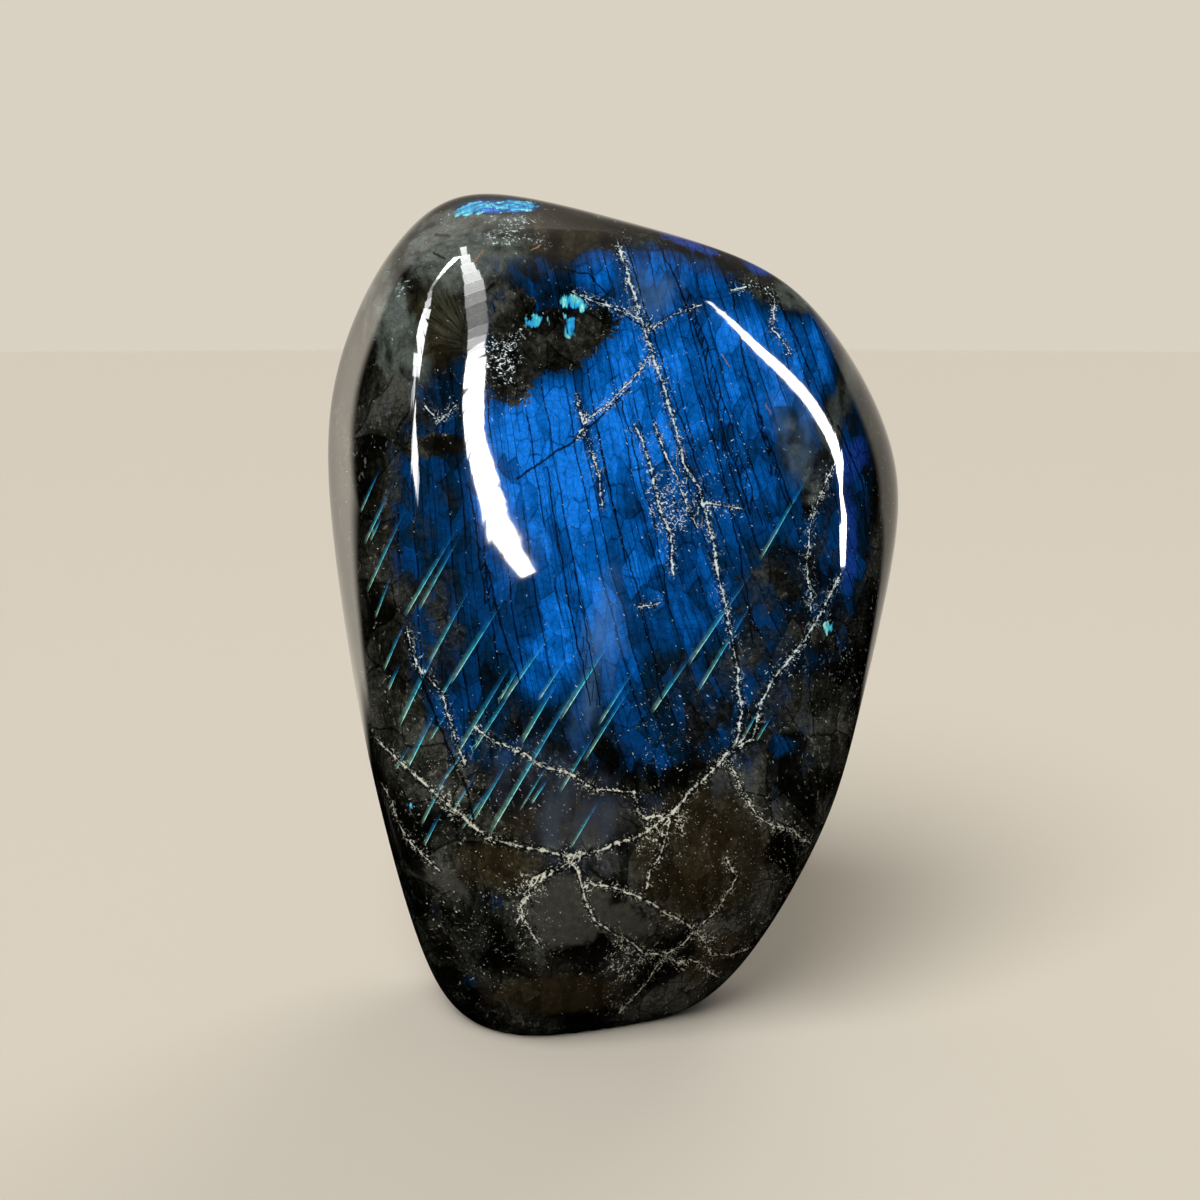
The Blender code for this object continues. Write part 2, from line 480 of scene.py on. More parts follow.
# Each highlight is the mirror image of a window or lamp that is bent round the stone
HIGHLIGHTS = {
    "left_window": [
        Gleam(-31, 172.5, 0.8, 0.2), Gleam(-30, 169, 2.4, 0.34), Gleam(-28.5, 165.5, 4, 0.26),
        Gleam(-28, 161, 4.4, 0.08), Gleam(-27.5, 156.5, 4.2, 0.08), Gleam(-28, 152.5, 3.4, 0.3),
        Gleam(-28, 150, 3.8, 0.8),
        Gleam(-28.5, 144.5, 4.3), Gleam(-28.5, 139, 4.3), Gleam(-28, 133.5, 4.3),
        Gleam(-26.5, 128, 4.7), Gleam(-25, 122.5, 4.9),
        Gleam(-23.5, 117, 4.8), Gleam(-21, 111.5, 4.1), Gleam(-19, 108.5, 3.4), Gleam(-17.5, 106.5, 3),
    ],
    "far_left_window": [
        Gleam(-32, 170.5, 0.8), Gleam(-34, 168.5, 0.8, 0.9), Gleam(-36, 166, 0.5, 0.2),
        Gleam(-37.5, 163.5, 0.5, 0.1),
        Gleam(-38, 160, 1.4, 0.35), Gleam(-39, 156, 1.9, 0.45), Gleam(-40, 151, 1.9, 0.4),
        Gleam(-40.5, 146.5, 1.2, 0.3), Gleam(-41.5, 141.5, 0.4, 0.1),
    ],
    "low_left_window": [
        Gleam(-41, 138, 0.5, 0.2), Gleam(-41, 133.5, 1.5, 0.5), Gleam(-40.5, 128.5, 1.5, 0.5),
        Gleam(-40, 123.5, 0.7, 0.2),
    ],
    "right_lamp": [
        Gleam(19, 161.5, 0.3, 0.4), Gleam(23.5, 157.5, 0.9), Gleam(28.5, 152.5, 1.5),
        Gleam(33, 148.5, 1.8), Gleam(38, 143.5, 2), Gleam(41.5, 139, 2.1), Gleam(44.5, 134, 1.9),
        Gleam(46.5, 128.5, 1.8), Gleam(47.5, 122.5, 1.7), Gleam(47.5, 116, 1.6), Gleam(47.5, 111, 1.4),
        Gleam(47.5, 107.5, 1, 0.7),
    ],
}

# The strip lights stand this far from this point, in metres
LIGHT_RUN_CENTRE = Vector((0.0, -0.030, 0.115))
LIGHT_RUN_DISTANCE = 0.6

# Strips from one point of a highlight to the next, and how much longer each is than its part
STRIPS_PER_STATION = 2
STRIP_OVERLAP = 1.03

# A strip whose run is less than this part of its width is turned by its width instead
SHORT_RUN = 0.12

# Soft suns: directions they come from and the width of their discs, in degrees
KEY_TURN, KEY_RISE = -25.0, 48.0
BACK_FILL_TURN, BACK_FILL_RISE = 155.0, 40.0
SUN_SPREAD = 40.0

FLOOR_RADIUS = 6.0
FLOOR_SIDES = 128
FLOOR_ROUGHNESS = 0.9

# What the polish mirrors, by direction, where behind and up go from -1 to 1.
# The wall begins this far back, and further back the more a look goes below WALL_DIP
WALL_BEGIN = 0.37
WALL_DIP = -0.05
WALL_SLANT = 1.7
WALL_SOFTNESS = 0.10

# The wall rises out of the dark floor, and further up it dims to this part of its brightness
WALL_FOOT = (-0.28, -0.24)
WALL_HEAD = (0.1, 0.45)
WALL_HEAD_LEFT = 0.3

# The left wall goes from its own strength to this one further back
LEFT_WALL_TURN = (0.3, 0.95)
LEFT_WALL_BACK = 0.9

# From left to right, where the left wall gives way to the right one
SIDES_MEET = (-0.1, 0.1)

# How high the ceiling begins and where it is at its brightest
CEILING = (0.45, 0.9)


class Board:
    """Adds nodes to one tree and joins them, so that a pattern reads like a sum."""

    def __init__(self, tree):
        self.tree = tree

    def node(self, kind, **settings):
        made = self.tree.nodes.new(kind)
        for name, value in settings.items():
            setattr(made, name, value)
        return made

    def feed(self, socket, value):
        if isinstance(value, bpy.types.NodeSocket):
            self.tree.links.new(value, socket)
        else:
            socket.default_value = value

    def math(self, operation, *values):
        made = self.node("ShaderNodeMath", operation=operation)
        for socket, value in zip(made.inputs, values):
            self.feed(socket, value)
        return made.outputs[0]

    def vector(self, operation, *values):
        made = self.node("ShaderNodeVectorMath", operation=operation)
        for socket, value in zip(made.inputs, values):
            self.feed(socket, value)
        return made.outputs["Value"] if operation in ("DOT_PRODUCT", "LENGTH") else made.outputs["Vector"]

    def times(self, first, *others):
        """The product of two or more values."""
        for other in others:
            first = self.math("MULTIPLY", first, other)
        return first

    def most(self, first, *others):
        """The largest of two or more values."""
        for other in others:
            first = self.math("MAXIMUM", first, other)
        return first

    def split(self, vector):
        made = self.node("ShaderNodeSeparateXYZ")
        self.feed(made.inputs[0], vector)
        return made.outputs

    def join(self, x, y, z):
        made = self.node("ShaderNodeCombineXYZ")
        for socket, value in zip(made.inputs, (x, y, z)):
            self.feed(socket, value)
        return made.outputs[0]

    def channels(self, colour):
        made = self.node("ShaderNodeSeparateColor")
        self.feed(made.inputs[0], colour)
        return made.outputs

    def scaled(self, vector, factor):
        made = self.node("ShaderNodeVectorMath", operation="SCALE")
        self.feed(made.inputs["Vector"], vector)
        self.feed(made.inputs["Scale"], factor)
        return made.outputs["Vector"]

    def step(self, value, low, high, at_low=0.0, at_high=1.0):
        """Eases from at_low to at_high as the value goes from low to high."""
        made = self.node("ShaderNodeMapRange", interpolation_type="SMOOTHSTEP")
        for socket, given in zip(made.inputs, (value, low, high, at_low, at_high)):
            self.feed(socket, given)
        return made.outputs["Result"]

    def fade(self, value, low, high, at_low=1.0):
        """Eases from at_low down to 0 as the value goes from low to high."""
        return self.step(value, low, high, at_low, 0.0)

    def noise(self, place, size, detail=2.0, roughness=0.5, colour=False):
        """Noise whose bumps are about size apart."""
        made = self.node("ShaderNodeTexNoise")
        self.feed(made.inputs["Vector"], place)
        self.feed(made.inputs["Scale"], 1.0 / size)
        self.feed(made.inputs["Detail"], detail)
        self.feed(made.inputs["Roughness"], roughness)
        return made.outputs["Color" if colour else "Fac"]

    def voronoi(self, feature, dimensions, place, scale):
        """Random cells: along a line for 1D, and on a plane for 2D."""
        made = self.node("ShaderNodeTexVoronoi", voronoi_dimensions=dimensions, feature=feature)
        self.feed(made.inputs["W" if dimensions == "1D" else "Vector"], place)
        self.feed(made.inputs["Scale"], scale)
        return made.outputs

    def mix(self, factor, low, high, blend="MIX"):
        """A colour from low to high."""
        made = self.node("ShaderNodeMix", data_type="RGBA", blend_type=blend)
        self.feed(made.inputs[0], factor)
        self.feed(made.inputs[6], low)
        self.feed(made.inputs[7], high)
        return made.outputs[2]

    def tinted(self, colour, tint):
        return self.mix(1.0, colour, tint, "MULTIPLY")

    def attribute(self, name, vector=False):
        made = self.node("ShaderNodeAttribute", attribute_name=name)
        return made.outputs["Vector" if vector else "Fac"]

    def ramp(self, value, stops):
        """A colour that passes through (position, colour) stops."""
        made = self.node("ShaderNodeValToRGB")
        elements = made.color_ramp.elements
        while len(elements) < len(stops):
            elements.new(0.5)
        for element, (position, colour) in zip(elements, stops):
            element.position = position
            element.color = colour
        self.feed(made.inputs["Fac"], value)
        return made.outputs["Color"]

    def group(self, tree, **values):
        made = self.node("ShaderNodeGroup", node_tree=tree)
        for name, value in values.items():
            self.feed(made.inputs[name.replace("_", " ").title()], value)
        return made.outputs


def new_group(name, inputs, outputs):
    """An empty shader group with sockets, each given as (name, kind, default)."""
    tree = bpy.data.node_groups.new(name, "ShaderNodeTree")
    for in_out, sockets in (("INPUT", inputs), ("OUTPUT", outputs)):
        for socket_name, kind, default in sockets:
            socket = tree.interface.new_socket(socket_name, in_out=in_out, socket_type=kind)
            if default is not None:
                socket.default_value = default
    board = Board(tree)
    return board, board.node("NodeGroupInput").outputs, board.node("NodeGroupOutput").inputs


FLOAT = "NodeSocketFloat"
VECTOR = "NodeSocketVector"


def cell_group(name, dimensions, kind):
    """Dark lines round random cells, and a tone for each cell."""
    board, given, result = new_group(
        name,
        [("Place", kind, None), ("Size", FLOAT, 3.0), ("Width", FLOAT, 0.2)],
        [("Line", FLOAT, None), ("Tone", FLOAT, None)],
    )
    scale = board.math("DIVIDE", 1.0, given["Size"])
    edge = board.voronoi("DISTANCE_TO_EDGE", dimensions, given["Place"], scale)
    cell = board.voronoi("F1", dimensions, given["Place"], scale)
    away = board.times(edge["Distance"], given["Size"])
    board.feed(result["Line"], board.fade(away, 0.0, given["Width"]))
    board.feed(result["Tone"], board.channels(cell["Color"])[0])
    return board.tree


# The smallest fleck as a part of the given radius, and the part of a fleck that is fully pale
FLECK_LEAST = 0.45
FLECK_CORE = 0.55


def fleck_group():
    """Short pale dashes, some cells of which are empty."""
    board, given, result = new_group(
        "flecks",
        [
            ("Place", VECTOR, None), ("Size", FLOAT, 1.5), ("Stretch", FLOAT, 3.0), ("Turn", FLOAT, 0.9),
            ("Amount", FLOAT, 0.3), ("Radius", FLOAT, 0.3),
        ],
        [("Mask", FLOAT, None), ("Tone", FLOAT, None)],
    )
    turned = board.node("ShaderNodeVectorRotate", rotation_type="Z_AXIS")
    board.feed(turned.inputs["Vector"], given["Place"])
    board.feed(turned.inputs["Angle"], given["Turn"])
    shape = board.join(board.math("DIVIDE", 1.0, given["Stretch"]), 1.0, 1.0)
    long = board.vector("MULTIPLY", turned.outputs[0], shape)
    cell = board.voronoi("F1", "2D", long, board.math("DIVIDE", 1.0, given["Size"]))
    chance, width, tone = board.channels(cell["Color"])
    there = board.math("LESS_THAN", chance, given["Amount"])
    radius = board.times(given["Radius"], board.math("ADD", FLECK_LEAST, width))
    spot = board.fade(cell["Distance"], board.times(radius, FLECK_CORE), radius)
    board.feed(result["Mask"], board.times(spot, there))
    board.feed(result["Tone"], board.step(tone, 0.3, 1.1, 0.15, 1.0))
    return board.tree


def patch_group():
    """A ragged-edged mask from the distance to a patch's edge, both in millimetres."""
    board, given, result = new_group(
        "patch edge",
        [("Inside", FLOAT, 0.0), ("Noise", FLOAT, 0.5), ("Ragged", FLOAT, 2.0), ("Soft", FLOAT, 0.5)],
        [("Mask", FLOAT, None)],
    )
    moved = centred(board, given["Noise"], given["Ragged"], given["Inside"])
    low = board.times(given["Soft"], -1.0)
    board.feed(result["Mask"], board.step(moved, low, given["Soft"]))
    return board.tree


def sheet_group():
    """How far a place is from the nearest sheet, in half widths of the line it draws."""
    board, given, result = new_group(
        "sheet",
        [("Place", VECTOR, None), ("Sheet", VECTOR, None), ("Offset", FLOAT, 0.0)],
        [("Away", FLOAT, None), ("Side", FLOAT, None)],
    )
    across = board.vector("DOT_PRODUCT", given["Place"], given["Sheet"])
    side = board.math("SUBTRACT", across, given["Offset"])
    board.feed(result["Side"], side)
    board.feed(result["Away"], board.math("ABSOLUTE", side))
    return board.tree


# Colours of the stone, as linear light
INK = (0.0014, 0.0014, 0.0010, 1.0)
CHARCOAL = (0.0055, 0.0055, 0.0040, 1.0)
SLATE = (0.0190, 0.0195, 0.0160, 1.0)
ASH = (0.0620, 0.0640, 0.0560, 1.0)
UMBER = (0.0220, 0.0170, 0.0080, 1.0)
HEALED = (0.1300, 0.1300, 0.1100, 1.0)
FLINT = (0.0440, 0.0430, 0.0360, 1.0)
SAGE = (0.1050, 0.1250, 0.1130, 1.0)
OLIVE = (0.0700, 0.0740, 0.0480, 1.0)
MIDNIGHT = (0.0010, 0.0060, 0.0120, 1.0)
NAVY = (0.0010, 0.0170, 0.0500, 1.0)
COBALT = (0.0010, 0.0450, 0.1900, 1.0)
AZURE = (0.0015, 0.1050, 0.4500, 1.0)
BRIGHT_AZURE = (0.0070, 0.1850, 0.7800, 1.0)
MILKY_BLUE = (0.0600, 0.1400, 0.3000, 1.0)
# Smoky blue-grey of the low haze and of the painted hazy reflection low on the front
SMOKY_HAZE_AND_REFLECTION = (0.0380, 0.0500, 0.0750, 1.0)
PALE_BLUE = (0.0250, 0.3000, 0.7200, 1.0)
CYAN = (0.0800, 0.7500, 0.9800, 1.0)
MINT = (0.4500, 0.9200, 0.7400, 1.0)
TURQUOISE = (0.0300, 0.4800, 0.6600, 1.0)
VIOLET = (0.0140, 0.0650, 0.4600, 1.0)
BONE = (0.1600, 0.2100, 0.2300, 1.0)
CHALK = (0.5600, 0.6700, 0.7000, 1.0)
SAND = (1.0000, 0.8400, 0.6800, 1.0)
RUST = (0.2600, 0.1300, 0.0700, 1.0)
FROST = (0.5200, 0.6600, 0.7200, 1.0)
VEIN_ROUGHNESS = 0.22

# Colour ramps: values from 0 to 1 and their colours
DARK_STOPS = [(0.34, INK), (0.47, CHARCOAL), (0.60, SLATE), (0.80, ASH)]
FLASH_STOPS = [(0.05, MIDNIGHT), (0.30, NAVY), (0.58, COBALT), (0.82, AZURE), (1.0, BRIGHT_AZURE)]
TURQUOISE_STOPS = [(0.36, AZURE), (0.46, PALE_BLUE), (0.56, TURQUOISE), (0.74, MINT)]
GLINT_STOPS = [(0.0, MINT), (0.12, MINT), (0.35, CYAN), (0.62, PALE_BLUE), (1.0, AZURE)]
VEIN_STOPS = [(0.40, BONE), (0.58, CHALK)]

# How far apart the bumps of the shared noises are, in millimetres
DRIFT_SIZE = 9.0
SHAKE_SIZE = 1.1
GRIT_SIZE = 1.3
BLOTCH_SIZE = 6.0
SMOKE_SIZE = 13.0
UPRIGHT_SIZE = 4.5

# How far the noises move what is drawn, in millimetres
DRIFT_REACH = 3.5
CELL_SHAKE = 0.4
LINE_SHAKE = 0.6
SLAB_SHAKE = 0.25

# The drab lower stone gives way to the clear upper stone between these heights, in millimetres
LOW_STONE = (62.0, 84.0)

# Directions of the two axes of the flat patterns, which run back a little askew
FLAT_ASKEW = ((1.0, 0.3, 0.0), (0.0, 0.3, 1.0))


class Split(NamedTuple):
    """Dark lines that split the stone: spacing and width in millimetres, and below 1 for tall cells."""

    size: float
    width: float
    squeeze: float = 1.0


FACETS = Split(7.5, 0.30, 0.7)
CELLS = Split(2.4, 0.18, 0.42)
SMALL_CELLS = Split(1.25, 0.12, 0.75)
COARSE_SLABS = Split(4.0, 0.30)
FINE_SLABS = Split(1.35, 0.17)


class Edge(NamedTuple):
    """The edge of a kind of patch: how ragged and how soft, in millimetres, and the patch's strength."""

    ragged: float
    soft: float
    strength: float = 1.0


ZONE_EDGES = {
    "ashen": Edge(9.0, 2.5, 0.85),
    "bare": Edge(8.0, 0.4),
    "black": Edge(5.0, 0.6, 0.9),
    "brown": Edge(12.0, 3.0, 0.85),
    "crust": Edge(16.0, 2.0),
    "fibre": Edge(6.0, 3.0, 0.65),
    "grey": Edge(9.0, 1.2, 0.85),
    # The haze zone also holds a painted hazy reflection low on the front
    "haze_and_reflection": Edge(12.0, 5.0),
    "turquoise": Edge(6.0, 0.3),
    "violet": Edge(5.0, 1.2, 0.6),
}

# The stone splits along steep sheets that run back, and lean more to the left the further right they are
SLAB_ACROSS = (1.0, 0.25, 0.22)
SLAB_FAN = 0.005
SLAB_FAN_HEIGHT = 110.0

# Fibres fan out from this point at the upper left, in millimetres
FIBRE_FOOT = (-27.0, -24.0, 152.0)
FIBRES_PER_RADIAN = 20.0
FIBRE_STRETCH = 0.15


def grey(value):
    """One value on all three channels of a colour socket."""
    return (value, value, value, 1.0)


class Patterns(NamedTuple):
    """What the layers share: groups, places in millimetres, and noises and cells from 0 to 1."""

    patch: object
    sheet: object
    flecks: object
    place: object
    bent: object
    shaken: object
    flat: object
    wobbled: object
    grit: object
    blotch: object
    facets: object
    cells: object
    small_cells: object
    coarse: object
    fine: object
    upright: object
    low: object


def unsteadiness(board, place, size, detail, roughness):
    """A random step for each place, of up to half a millimetre along each axis."""
    noise = board.noise(place, size, detail, roughness, colour=True)
    return board.vector("SUBTRACT", noise, (0.5, 0.5, 0.5))


def shared_patterns(board):
    place = board.scaled(board.node("ShaderNodeTexCoord").outputs["Object"], 1.0 / MM)
    drift = unsteadiness(board, place, DRIFT_SIZE, 0.0, 0.5)
    shake = unsteadiness(board, place, SHAKE_SIZE, 1.0, 0.6)
    bent = board.vector("ADD", place, board.scaled(drift, DRIFT_REACH))
    shaken = board.vector("ADD", bent, board.scaled(shake, CELL_SHAKE))
    wobbled = board.vector("ADD", place, board.scaled(shake, LINE_SHAKE))
    flat = board.join(*(board.vector("DOT_PRODUCT", shaken, askew) for askew in FLAT_ASKEW), 0.0)
    crackle = cell_group("crackle", "2D", VECTOR)
    cells = [
        board.group(
            crackle, place=board.vector("MULTIPLY", flat, (1.0, split.squeeze, 1.0)),
            size=split.size, width=split.width,
        )
        for split in (FACETS, CELLS, SMALL_CELLS)
    ]
    steady = board.vector("ADD", board.vector("ADD", place, drift), board.scaled(shake, SLAB_SHAKE))
    across = slab_position(board, steady)
    slabs = cell_group("slabs", "1D", FLOAT)
    sheets = [
        board.group(slabs, place=across, size=split.size, width=split.width)
        for split in (COARSE_SLABS, FINE_SLABS)
    ]
    grit = board.noise(place, GRIT_SIZE, 3.0, 0.75)
    blotch = board.noise(bent, BLOTCH_SIZE, 3.0, 0.6)
    upright = board.noise(board.vector("MULTIPLY", place, (1.0, 1.0, 0.22)), UPRIGHT_SIZE, 2.0)
    low = board.fade(board.split(bent)["Z"], *LOW_STONE)
    return Patterns(
        patch_group(), sheet_group(), fleck_group(), place, bent, shaken, flat, wobbled,
        grit, blotch, *cells, *sheets, upright, low,
    )


def centred(board, value, amount, start):
    """start, moved up or down by amount times how far a 0 to 1 value is from its middle."""
    return board.math("MULTIPLY_ADD", board.math("SUBTRACT", value, 0.5), amount, start)


def dimmed(board, mask, amount):
    """A factor that is 1 off a mask and 1 - amount on it."""
    return board.math("MULTIPLY_ADD", mask, -amount, 1.0)


def zone_mask(board, at, name, noise):
    """Where a kind of patch lies."""
    edge = ZONE_EDGES[name]
    inside = board.attribute("zone_" + name)
    mask = board.group(at.patch, inside=inside, noise=noise, ragged=edge.ragged, soft=edge.soft)["Mask"]
    return board.times(mask, edge.strength)


def dark_stone(board, at):
    """Dark stone with smoky facets, fine cracks and grain."""
    level = board.noise(at.bent, SMOKE_SIZE, 1.0, 0.6)
    for tone, share in ((at.facets["Tone"], 0.20), (at.cells["Tone"], 0.12), (at.grit, 0.65)):
        level = centred(board, tone, share, level)
    level = board.math("MULTIPLY_ADD", at.low, 0.03, level)
    colour = board.ramp(level, DARK_STOPS)
    small_lines = dimmed(board, at.small_cells["Line"], 0.5)
    keep = board.times(dimmed(board, at.facets["Line"], 0.8), small_lines)
    colour = board.tinted(colour, keep)
    healed = board.times(
        at.cells["Line"], board.step(at.grit, 0.52, 0.64), board.step(at.blotch, 0.44, 0.56),
    )
    return board.mix(healed, colour, HEALED)


def cloudy_stone(board, at, colour):
    """Brown, smooth grey and ashen areas of the dark stone."""
    grain = board.ramp(at.grit, [(0.25, grey(0.35)), (0.75, grey(1.5))])
    mask = zone_mask(board, at, "brown", at.blotch)
    brown = board.tinted(UMBER, grain)
    brown = board.tinted(brown, centred(board, at.cells["Tone"], 0.9, 1.0))
    colour = board.mix(mask, colour, brown)

    shade = board.ramp(at.grit, [(0.3, grey(0.7)), (0.7, grey(1.25))])
    smooth = board.tinted(FLINT, shade)
    colour = board.mix(zone_mask(board, at, "grey", at.blotch), colour, smooth)

    ashen = board.tinted(SAGE, board.ramp(at.blotch, [(0.35, grey(0.15)), (0.65, grey(1.3))]))
    ashen = board.tinted(ashen, dimmed(board, at.small_cells["Line"], 0.35))
    ashen = board.mix(0.5, ashen, board.tinted(ashen, grain))
    colour = board.mix(zone_mask(board, at, "ashen", at.blotch), colour, ashen)
    return board.mix(zone_mask(board, at, "black", at.grit), colour, INK)


def fibrous_stone(board, at, colour):
    """Olive fibres that fan out from one point."""
    from_foot = board.vector("SUBTRACT", at.shaken, FIBRE_FOOT)
    right, _, up = board.split(from_foot)
    turn = board.math("ARCTAN2", up, right)
    length = board.vector("LENGTH", from_foot)
    spread = board.join(board.times(turn, FIBRES_PER_RADIAN), board.times(length, FIBRE_STRETCH), 0.0)
    fibre = board.noise(spread, 1.0, 2.0, 0.6)
    fibres = board.tinted(OLIVE, board.ramp(fibre, [(0.40, grey(0.15)), (0.66, grey(0.9))]))
    return board.mix(zone_mask(board, at, "fibre", at.blotch), colour, fibres)


def slab_position(board, place):
    """How far across the slabs a place is, in millimetres."""
    right, _, up = board.split(place)
    fan = board.times(right, board.math("SUBTRACT", up, SLAB_FAN_HEIGHT), SLAB_FAN)
    return board.math("ADD", board.vector("DOT_PRODUCT", place, SLAB_ACROSS), fan)


def light_left(board, at):
    """How much of the flash the dark lines between slabs and cells let through."""
    darkened = [
        (board.times(at.coarse["Line"], board.step(at.upright, 0.38, 0.52)), 0.95),
        (board.times(at.fine["Line"], board.step(at.upright, 0.62, 0.42)), 0.68),
        (board.times(at.cells["Line"], board.step(at.blotch, 0.62, 0.38, 0.3, 1.0)), 0.62),
        (at.small_cells["Line"], 0.38),
    ]
    left = board.step(at.grit, 0.25, 0.75, 0.75, 1.2)
    for line, amount in darkened:
        left = board.times(left, dimmed(board, line, amount))
    return left


def blue_flash(board, at, colour, left):
    """The layered blue flash over the dark stone, with its violet edges."""
    level = board.attribute("flash_level")
    lit = level
    for tone, amount in (
        (at.coarse["Tone"], 0.22), (at.fine["Tone"], 0.12), (at.cells["Tone"], 0.28), (at.blotch, 0.60),
    ):
        lit = centred(board, tone, amount, lit)
    flash = board.ramp(lit, FLASH_STOPS)
    violet = zone_mask(board, at, "violet", at.blotch)
    flash = board.tinted(board.mix(violet, flash, VIOLET), left)
    there = board.math("ADD", centred(board, at.blotch, 0.6, level), violet)
    there = board.step(centred(board, at.cells["Tone"], 0.15, there), 0.06, 0.38)
    bare = zone_mask(board, at, "bare", at.grit)
    return board.mix(board.times(there, dimmed(board, bare, 1.0)), colour, flash)


def turquoise_spots(board, at, colour, left):
    spot = board.noise(board.vector("MULTIPLY", at.shaken, (1.0, 1.0, 0.4)), 1.6, 2.0, 0.65)
    hue = board.ramp(spot, TURQUOISE_STOPS)
    mask = zone_mask(board, at, "turquoise", spot)
    return board.mix(mask, colour, board.mix(0.6, hue, board.tinted(hue, left)))


def milky_haze_and_painted_reflection(board, at, colour):
    """Pale clouds deep in the stone and a painted hazy reflection low on the front, with an upright grain.
    """
    mask = zone_mask(board, at, "haze_and_reflection", at.blotch)
    cover = board.times(mask, board.step(at.upright, 0.35, 0.65, 0.10, 0.65))
    # The painted hazy reflection and the low haze take the smoky colour, the clouds higher up the milky
    # blue
    return board.mix(cover, colour, board.mix(at.low, MILKY_BLUE, SMOKY_HAZE_AND_REFLECTION))


def nearest_sheet(board, at, place, name):
    """How far a place is from the nearest line of a family, in half widths, unsigned and signed."""
    return board.group(
        at.sheet, place=place, sheet=board.attribute(name + "_sheet", vector=True),
        offset=board.attribute(name + "_offset"),
    )


def glint_wedges(board, at, name, colour):
    """Teal wedges of light with one crisp edge, which fade on the other side and at the head."""
    near = nearest_sheet(board, at, at.place, name)
    gap = board.attribute(name + "_gap")
    along = board.attribute(name + "_along")
    ends = board.times(
        board.step(along, -0.02, 0.10), board.fade(along, 0.45, 1.0),
        board.step(at.grit, 0.3, 0.6, 0.6, 1.25),
    )
    edge = board.fade(near["Side"], 0.1, 0.5)
    core = board.step(near["Side"], board.math("MULTIPLY_ADD", ends, -0.8, -0.5), 0.0)
    core = board.times(core, board.fade(gap, 0.9, 1.2, 0.9))
    body = board.times(board.step(near["Side"], -8.0, 0.0), board.fade(gap, 0.8, 1.8, 0.18))
    shown = board.times(board.most(core, body), edge, ends)
    return board.mix(shown, colour, board.ramp(along, GLINT_STOPS))


def fine_cracks(board, at, colour):
    near = nearest_sheet(board, at, at.wobbled, "crack")
    gap = board.attribute("crack_gap")
    crack = board.times(board.fade(near["Away"], 0.3, 1.0), board.fade(gap, 0.95, 1.3, 0.9))
    return board.mix(crack, colour, INK)


def rusty_splinters(board, at, colour):
    near = nearest_sheet(board, at, at.wobbled, "splinter")
    gap = board.attribute("splinter_gap")
    shown = board.times(board.fade(near["Away"], 0.6, 1.1), board.fade(gap, 0.6, 0.9, 0.9))
    return board.mix(shown, colour, RUST)


def pale_veins(board, at, colour):
    """Granular veins in a dark seam, and the grains that lie beside them."""
    near = nearest_sheet(board, at, at.wobbled, "vein")
    gap = board.attribute("vein_gap")
    close = board.fade(gap, 1.0, 1.4)
    seam = board.times(board.fade(near["Away"], 0.8, 3.2, 0.7), close)
    colour = board.mix(seam, colour, INK)
    core = board.fade(centred(board, at.grit, -4.0, near["Away"]), 0.0, 0.6)
    core = board.times(core, board.step(at.grit, 0.30, 0.50, 0.35, 1.0))
    rich = board.step(at.blotch, 0.36, 0.58, 0.35, 1.0)
    crust = zone_mask(board, at, "crust", at.blotch)
    crust = board.times(crust, board.step(at.grit, 0.36, 0.58, 0.25, 1.0))
    dusty = board.times(board.fade(gap, 0.0, 1.1, 0.65), rich)
    grains = board.group(
        at.flecks, place=at.flat, size=0.40, stretch=1.8, turn=0.5, radius=0.36,
        amount=board.most(dusty, board.times(crust, 0.35)),
    )
    by_vein = board.times(board.fade(gap, 0.4, 2.0, 0.55), rich)
    branching = board.most(by_vein, board.times(crust, 0.9))
    twigs = board.times(at.small_cells["Line"], branching, board.step(at.grit, 0.50, 0.58))
    vein = board.most(board.times(core, close), grains["Mask"], twigs)
    pale = board.ramp(at.grit, VEIN_STOPS)
    pale = board.mix(at.low, pale, board.tinted(pale, SAND))
    beside = board.times(board.fade(gap, 0.4, 3.2, 0.45), rich)
    beside = board.most(beside, board.times(crust, 0.75))
    return board.mix(vein, colour, pale), vein, beside


# Neighbouring glints are in different families, so that each corner can carry both
GLINT_FAMILIES = ("glint_one", "glint_two", "glint_three")


class Flecks(NamedTuple):
    """A layer of dashes: turn in radians, size in millimetres, stretch, radius in cells and share."""

    turn: float
    size: float
    stretch: float
    radius: float
    share: float


FLECK_LAYERS = [
    Flecks(0.95, 0.62, 3.2, 0.13, 1.0),
    Flecks(-0.6, 0.95, 4.0, 0.08, 1.0),
    Flecks(0.3, 0.42, 1.8, 0.17, 0.7),
]


def pale_flecks(board, at, colour, amount):
    """Short pale dashes and dust, close together where the amount is high."""
    pale = board.mix(at.low, FROST, board.tinted(FROST, SAND))
    for layer in FLECK_LAYERS:
        fleck = board.group(
            at.flecks, place=at.flat, size=layer.size, stretch=layer.stretch, turn=layer.turn,
            radius=layer.radius, amount=board.times(amount, layer.share),
        )
        colour = board.mix(board.times(fleck["Mask"], fleck["Tone"]), colour, pale)
    return colour


